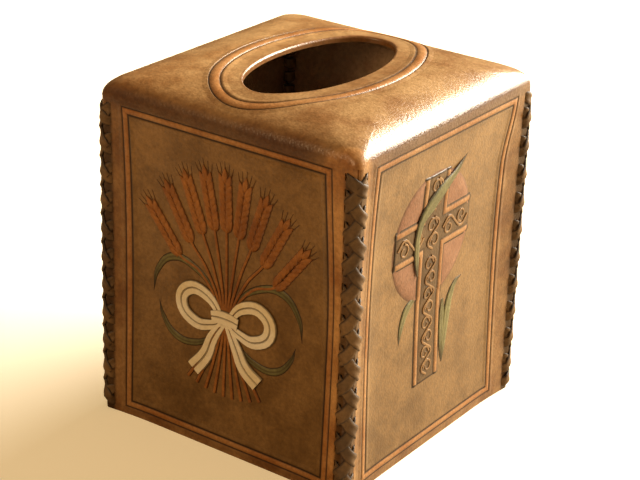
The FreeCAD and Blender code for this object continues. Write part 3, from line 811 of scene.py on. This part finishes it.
def scroll(start, end, waves, swing):
    """Lines of a running scroll between two points: a wave, and a curl in each of its bays."""
    start, end = Vector(start), Vector(end)
    along = (end - start).normalized()
    aside = Vector((-along.y, along.x))
    bay = (end - start).length / waves
    wave = []
    for quarter in range(4 * waves + 1):
        spot = start + along * bay * quarter / 4 + aside * swing * math.sin(quarter * math.pi / 2)
        wave.append((*spot, WAVE_HALF))
    lines = [wave]
    for half in range(2 * waves):
        side = -1 if half % 2 else 1
        middle = start + along * bay * (half + 0.5) / 2 - aside * side * swing * CURL_SET
        curl = []
        for step in range(CURL_POINTS):
            turn = step * CURL_TURN
            reach = swing * (CURL_REACH - CURL_CLOSES * step)
            spot = middle + along * reach * math.sin(turn) + aside * side * reach * math.cos(turn)
            curl.append((*spot, CURL_HALF - CURL_THINS * step))
        lines.append(curl)
    return lines


arm_middle = (ARM_LOW + ARM_HIGH) / 2
SCROLLS = [
    ((CROSS_MIDDLE, SHAFT_LOW + 3), (CROSS_MIDDLE, ARM_LOW - 1), 4, 3.3),
    ((CROSS_MIDDLE, ARM_LOW + 2), (CROSS_MIDDLE, ARM_HIGH - 2), 1, 3.6),
    ((CROSS_MIDDLE, ARM_HIGH + 1), (CROSS_MIDDLE, SHAFT_HIGH - 2), 1, 3.3)]
SCROLLS += [((CROSS_MIDDLE + side * (ARM_REACH - 2), arm_middle),
             (CROSS_MIDDLE + side * (SHAFT_HALF - 3), arm_middle), 1, 3.4) for side in (-1, 1)]
scroll_lines = [line for run in SCROLLS for line in scroll(*run)]
scrolls = relief_strips("tooled_scrolls_right", stem_section, scroll_lines,
                        lambda across, up: SCROLL_RISE + over_disc(across, up))
for note in scrolls.data.attributes.new("dye", "FLOAT", "POINT").data:
    note.value = SCROLL_DYE
on_right_wall(scrolls, saddle)

# %% Leaves beside and over the cross
LEAF_OVER_CROSS = [
    (16.8, 122.2, 0.1), (9, 117, 1.6), (-0.5, 112, 3.4), (-8.5, 106.8, 3.7), (-13.6, 102.5, 2.5),
    (-15.6, 97, 2.1), (-15.9, 91.5, 2.1), (-15.4, 86, 1.7), (-14, 79, 0.6)]
LEAVES_BESIDE_SHAFT = [
    [(6.9, 61.5, 1.0), (6.7, 55, 2.1), (6.7, 48, 2.3), (6.9, 41, 1.7), (7.2, 34.5, 0.4)],
    [(20.7, 67.3, 0.1), (16, 65.6, 1.5), (12.8, 61.5, 2.5), (10.7, 55, 2.9), (9.5, 48, 2.6), (8.6, 41, 2.0),
     (7.8, 33, 0.4)]]
LEAF_LEFT = [(-13.5, 69.5, 0.9), (-17, 68, 2.0), (-20, 65.8, 2.5), (-22.2, 62, 2.2), (-23.7, 57.3, 1.4),
             (-24.4, 52.5, 0.1)]
LEAF_RISE, LEAF_RISE_REACH, LEAF_RISE_FADE = 0.8, 34, 8


def over_cross(across, up):
    """Rise in mm of the leaf that lies over the disc and the cross, fading out at its tip."""
    inside = LEAF_RISE_REACH - (Vector((across, up)) - DISC_MIDDLE).length
    return LEAF_RISE * min(1.0, max(0.0, inside / LEAF_RISE_FADE))


on_right_wall(relief_strips("tooled_leaf_over_cross", leaf_section, [LEAF_OVER_CROSS], over_cross), sage)
on_right_wall(relief_strips("tooled_leaves_right", leaf_section, [*LEAVES_BESIDE_SHAFT, LEAF_LEFT]), sage)

# %% [markdown]
# ## The front wall's sheaf
#
# The front wall has a wheat sheaf tied with a ribbon, a common ornament of harvest and table ware. Nine
# stalks fan out from the tie to both sides. An ear is seven pairs of grains and one at the tip. One grain is
# modelled from half a sphere with a pulled tip and copied. The awns, stalks, leaves and ribbon are strips.

# %% Stalks, awns and leaves
# Saddle dye, rubbed off the high places: a warm straw that is redder in the clouds
straw = dyed_leather("straw_dyed_leather", "#d8914a", "#ad6a30")
EARS = [ear / 4 for ear in range(-4, 5)]
EAR_LEAN = math.radians(38)
EAR_LENGTH, GRAIN_PITCH, GRAIN_PAIRS = 22.0, 3.0, 7
FAN_REACH, EAR_FOOT, EAR_DROP = 24, 97, 17
TIE_HEIGHT = 59
STALK_TOP, STALK_TOP_HALF, EAR_FOOT_HALF = 0.85, 0.4, 0.8
# Points of the outermost stalk below its ear: across, up, how far the fan bends it up, half width
STALK = [(12.5, 79, -4, 0.85), (3.6, TIE_HEIGHT, 0, 0.9), (9, 43, 0, 0.9), (18, 25, 3.5, 1.0)]
AWNS, AWN_LEAN, AWN_PITCH = range(-2, 3), math.radians(8), 0.7
AWN_SET_IN, AWN_LENGTH, AWN_SHORTENS = 5, 12, 0.8
AWN_HALVES = 0.34, 0.3, 0.12
BLADES = [[(3, 66, 0.7), (15, 76, 1.7), (27, 78, 1.9), (35, 70, 1.3), (37, 60, 0.1)],
          [(5, 50, 0.7), (15, 44, 1.6), (25, 44, 1.8), (32, 51, 1.1), (34, 57, 0.1)]]


def ear_axes(share):
    """Foot of an ear and the directions along it and across it, for its share of the fan from -1 to 1."""
    lean = EAR_LEAN * share
    foot = Vector((FAN_REACH * share, EAR_FOOT - EAR_DROP * share ** 2))
    return foot, Vector((math.sin(lean), math.cos(lean))), Vector((math.cos(lean), -math.sin(lean)))


def both_sides(lines):
    """Lines on the right half of the wall, as they are and mirrored, with the mirrored ones first."""
    return [[(side * x, y, half) for x, y, half in line] for side in (-1, 1) for line in lines]


stalk_lines, awn_lines = [], []
for share in EARS:
    foot, along, across = ear_axes(share)
    in_ear = [(*(foot + along * EAR_LENGTH * STALK_TOP), STALK_TOP_HALF), (*foot, EAR_FOOT_HALF)]
    stalk_lines.append(in_ear + [(x * share, y + bend * share ** 2, half) for x, y, bend, half in STALK])
    for awn in AWNS:
        lean = EAR_LEAN * share + AWN_LEAN * awn
        start = foot + along * (EAR_LENGTH - AWN_SET_IN) + across * AWN_PITCH * awn
        reach = AWN_LENGTH - AWN_SHORTENS * abs(awn)
        tip = start + Vector((math.sin(lean), math.cos(lean))) * reach
        awn_lines.append([(*spot, half) for spot, half in zip((start, (start + tip) / 2, tip), AWN_HALVES)])
finish_piece(relief_strips("wheat_stalks_front", stem_section, stalk_lines), straw)
finish_piece(relief_strips("wheat_awns_front", stem_section, awn_lines), straw)
finish_piece(relief_strips("wheat_leaves_front", leaf_section, both_sides(BLADES)), sage)

# %% One grain, and all its copies
GRAIN = Vector((1.5, 0.95, 3.1))
GRAIN_BACK, GRAIN_TIP = Vector((0, 0.1, 0)) * MM, Vector((0, -0.2, 0.9)) * MM
TIP_FROM = 0.95 * GRAIN.z * MM
GRAIN_FIRST, GRAIN_LAST, GRAIN_SIDE, GRAIN_OUT = 2.0, 1.5, 1.6, 0.15
GRAIN_LEAN, GRAIN_CLEAN = math.radians(18), 0.45

bpy.ops.mesh.primitive_uv_sphere_add(segments=8, ring_count=6, radius=1)
grain = sized("wheat_grain", GRAIN * MM)
bpy.ops.object.mode_set(mode="EDIT")
bpy.ops.mesh.select_all(action="SELECT")
bpy.ops.mesh.bisect(plane_co=GRAIN_BACK, plane_no=-OUTWARD, clear_outer=True)
pick(grain, "verts", lambda vertex: vertex.co.z > TIP_FROM)
bpy.ops.transform.translate(value=GRAIN_TIP)
bpy.ops.object.mode_set(mode="OBJECT")

grains = []
for share in EARS:
    foot, along, across = ear_axes(share)
    places = [(foot + along * (GRAIN_FIRST + GRAIN_PITCH * pair) + across * side * GRAIN_SIDE, side)
              for pair in range(GRAIN_PAIRS) for side in (-1, 1)]
    places.append((foot + along * (GRAIN_LAST + GRAIN_PITCH * GRAIN_PAIRS), 0))
    for spot, side in places:
        copy = turned_copy(grain, "wheat_grain_copy", 0)
        place = Vector((spot.x * MM, -WALL - GRAIN_OUT * MM, spot.y * MM))
        lean = EAR_LEAN * share + GRAIN_LEAN * side
        copy.data.transform(Matrix.Translation(place) @ Matrix.Rotation(lean, 4, "Y"))
        grains.append(copy)
bpy.data.objects.remove(grain)
bpy.ops.object.select_all(action="DESELECT")
for copy in grains:
    copy.select_set(True)
bpy.context.view_layer.objects.active = grains[0]
bpy.ops.object.join()
ears = bpy.context.object
ears.name = "wheat_ears_front"
stain_low_parts(ears, GRAIN_CLEAN)
lay_on_wall(ears)
finish_piece(ears, straw)

# %% Ribbon
# Acrylic leather paint: opaque and matt, the palest thing on the cover
cream = dyed_leather("cream_painted_leather", "#fffbea", "#f4e8c6", stain="#4a3614", wax=0.0,
                     dapple=(0.9, 1.0))
LOOP = [(1, 58, 1.6), (9, 66.5, 2.8), (18.5, 67, 3.2), (22, 60, 3.2), (15, 53.5, 3.0), (7, 54.5, 2.3),
        (1, 57.5, 1.6)]
TAILS = [[(-1, 57, 1.8), (-6, 49, 2.9), (-9, 41, 3.4), (-15, 33, 3.8)],
         [(1, 57, 1.8), (6, 48, 2.9), (10, 41, 3.4), (17, 36, 3.8)]]
KNOT = [(-6.5, 58.6, 2.6), (-3, 59.2, 3.2), (3, 59.2, 3.2), (6.5, 58.6, 2.6)]
BOW_RISE, KNOT_RISE = 0.45, 0.75

bow = relief_strips("ribbon_bow_front", band_section, both_sides([LOOP]) + TAILS, lambda across, up: BOW_RISE)
finish_piece(bow, cream)
knot = relief_strips("ribbon_knot_front", band_section, [KNOT], lambda across, up: KNOT_RISE)
finish_piece(knot, cream)
for section in (leaf_section, stem_section, band_section):
    bpy.data.objects.remove(section)

# %% [markdown]
# ## Laced edges
#
# The lace pulls the soft cut edges of two walls over the corner until they meet in a seam. The solid stops
# square at each wall, so the two lips are added here: an outline seen from above, with the seam as a notch in
# it, drawn up along the corner. They are nearly as round as the corner of the fold above them, where the top
# is one piece.

# %% Model one corner's lips and copy them
CORNERS = "front_left", "front_right", "back_right", "back_left"
LIPS = [(2.8, 0.0), (2.2, 0.1), (1.6, 0.5), (1.25, 0.9), (1.5, 1.5), (0.9, 1.25), (0.5, 1.6), (0.1, 2.2),
        (0.0, 2.8), (2.8, 2.8)]
LIPS_HIGH = 138.4 * MM


def corner_copies(piece, name):
    """The piece of the front left corner and its copies on the other three, with their corners.
    """
    pieces = [piece] + [turned_copy(piece, f"{name}_{corner}", number)
                        for number, corner in enumerate(CORNERS[1:], start=1)]
    return zip(pieces, CORNERS)


lips_outline = bpy.data.curves.new("laced_edge_front_left", "CURVE")
lips_outline.dimensions = "2D"
lips_outline.fill_mode = "BOTH"
lips_outline.extrude = LIPS_HIGH / 2
spline = lips_outline.splines.new("POLY")
spline.points.add(len(LIPS) - 1)
for point, (along_front, along_left) in zip(spline.points, LIPS):
    point.co = (along_front * MM - WALL, along_left * MM - WALL, 0, 1)
spline.use_cyclic_u = True
lips = mesh_of(lips_outline)
lips.data.transform(Matrix.Translation((0, 0, LIPS_HIGH / 2)))
for piece, _ in corner_copies(lips, "laced_edge"):
    finish_piece(piece, saddle)

# %% [markdown]
# ## Laces
#
# The laces are flat strips of dark oiled calf. A lace winds down its corner through every other slit: out of
# the front wall, round the corner to the slit two steps lower in the other wall, and straight back inside. On
# the way up it takes the slits that it left out. The two courses cross on both walls and change places at the
# corner, so each lies on top on one wall, as in a braid. The Z-Up twist of the curve keeps the strip's width
# upright all the way. The strip is narrower in the slits, where the leather squeezes it and real lace curls
# up. Its cut edges are stained dark.

# %% Finish and section of the lace
# Calf, oiled but not waxed: a dull dark brown with hardly any grain
calf = dyed_leather("oiled_calf_lace", "#a9875e", "#72593f", stain="#1c1007", roughness=0.5, pores=0.1,
                    wax=0.0)
LACE_WIDTH, LACE_THICKNESS = 5.4, 0.65
EDGE_THINNER, EDGE_PLACE = 0.8, 0.92
half_thick, half_wide = LACE_THICKNESS / 2, LACE_WIDTH / 2
edge_thick, edge_wide = half_thick * EDGE_THINNER, half_wide * EDGE_PLACE
LACE_POINTS = [(edge_thick, edge_wide), (half_thick, 0), (edge_thick, -edge_wide),
               (-edge_thick, -edge_wide), (-half_thick, 0), (-edge_thick, edge_wide)]
LACE_STEPS = 3
lace_section = section_curve("lace_section", LACE_POINTS, LACE_STEPS)
print(f"{calf.name}: a strip {LACE_WIDTH} by {LACE_THICKNESS} mm")

# %% Route of one lace
SLIT_INSET, SLIT_FIRST, SLIT_PITCH, SLITS = 5.0, 3.6, 6.25, 22
LEATHER = 2.4
LACE_INSET, LACE_SIDE, LACE_TAIL = 5.85, 3.4, 0.8
IN_SLIT, SIDE_CLIMB = 0.78, 0.2
OVER, UNDER, RIDGE = 0.9, 0.3, 0.64
BESIDE_SLIT, SINK = 1.7, 0.1


def slit_depth(height):
    """Depth in mm of the leather's outside beside a slit, found by a ray."""
    beside = Vector(((SLIT_INSET + BESIDE_SLIT) * MM - WALL, -2 * WALL, height * MM))
    _, spot, _, _ = leather.ray_cast(beside, -OUTWARD)
    return (spot.y + WALL) / MM - SINK


def lace_route():
    """Points of the front left lace: mm from the corner along the front and the left, height, width."""
    heights = [SLIT_FIRST + SLIT_PITCH * n for n in range(SLITS)]
    depths = [slit_depth(height) for height in heights]
    top = SLITS - 1
    tail = depths[top] + LEATHER + LACE_TAIL
    route = [(LACE_INSET, tail, heights[top], IN_SLIT)]

    def outside(start, end, over):
        low, high = heights[start], heights[end]
        climb = SIDE_CLIMB * (high - low)
        on_front, on_left = (OVER, UNDER) if over else (UNDER, OVER)
        route.extend([
            (LACE_INSET, depths[start] + LEATHER / 2, low, IN_SLIT),
            (LACE_SIDE, -on_front, low + climb, 1.0),
            (RIDGE, RIDGE, (low + high) / 2, 1.0),
            (-on_left, LACE_SIDE, high - climb, 1.0),
            (depths[end] + LEATHER / 2, LACE_INSET, high, IN_SLIT)])

    def inside(slit):
        route.append((LACE_INSET, LACE_INSET, heights[slit], 1.0))

    for upper in range(top, 2, -2):
        outside(upper, upper - 2, False)
        inside(upper - 2)
    outside(1, 0, False)
    inside(0)
    for lower in range(0, top - 1, 2):
        outside(lower, lower + 2, True)
        inside(lower + 2)
    outside(top - 1, top, True)
    route.append((tail, LACE_INSET, heights[top], IN_SLIT))
    return route


to_corner = WALL / MM
lace = strips("flat_lace_front_left", lace_section, [[
    (along_front - to_corner, along_left - to_corner, height, width)
    for along_front, along_left, height, width in lace_route()]])
bpy.data.objects.remove(lace_section)
print(f"lace route drawn with {len(lace.data.vertices)} vertices")

# %% [markdown]
# A bevelled curve holds its section square to its line. Where the line slants round the corner, the edges of
# the strip would stand off it like a straight board. Real lace bends there, so the section's rings are laid
# back round the corner: each vertex is moved until it stands out of it as far as its own place in the strip's
# thickness says.

# %% Lay the lace round the corner, stain its edges, and copy it
CORNER_ROUND, WRAP_END, WRAP_FADE = 3.2 * MM, 4.8 * MM, 0.8 * MM
RING_SIZE = len(LACE_POINTS) * LACE_STEPS
OUTER_MIDDLE, INNER_MIDDLE = LACE_STEPS, 4 * LACE_STEPS
EDGE_POINTS, EDGE_STARTS, EDGE_STAIN = (2, 5), (0, 3), 0.8


def out_of_corner(spot):
    """How far a place stands out of the rounded corner, and the way out."""
    inward = Vector((max(0.0, CORNER_ROUND - WALL - spot.x), max(0.0, CORNER_ROUND - WALL - spot.y), 0.0))
    return inward.length - CORNER_ROUND, -inward.normalized()


for first in range(0, len(lace.data.vertices), RING_SIZE):
    ring = lace.data.vertices[first:first + RING_SIZE]
    centre = sum((vertex.co for vertex in ring), Vector()) / RING_SIZE
    share = min(1.0, (WRAP_END - WALL - max(centre.x, centre.y)) / WRAP_FADE)
    if share > 0:
        stands, way_out = out_of_corner(centre)
        thick = (ring[OUTER_MIDDLE].co - ring[INNER_MIDDLE].co).normalized()
        if thick.dot(way_out) < 0:
            thick.negate()
        for vertex in ring:
            here, way_out = out_of_corner(vertex.co)
            vertex.co += way_out * (stands + thick.dot(vertex.co - centre) - here) * share

edge_stain = lace.data.attributes.new("groove", "FLOAT", "POINT")
for vertex in lace.data.vertices:
    point, step = divmod(vertex.index % RING_SIZE, LACE_STEPS)
    at_edge = point in EDGE_POINTS or (point in EDGE_STARTS and step == 0)
    edge_stain.data[vertex.index].value = EDGE_STAIN if at_edge else 0.0
for flat_lace, corner in corner_copies(lace, "flat_lace"):
    finish_piece(flat_lace, calf)
    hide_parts(f"corner_lace_{corner}")
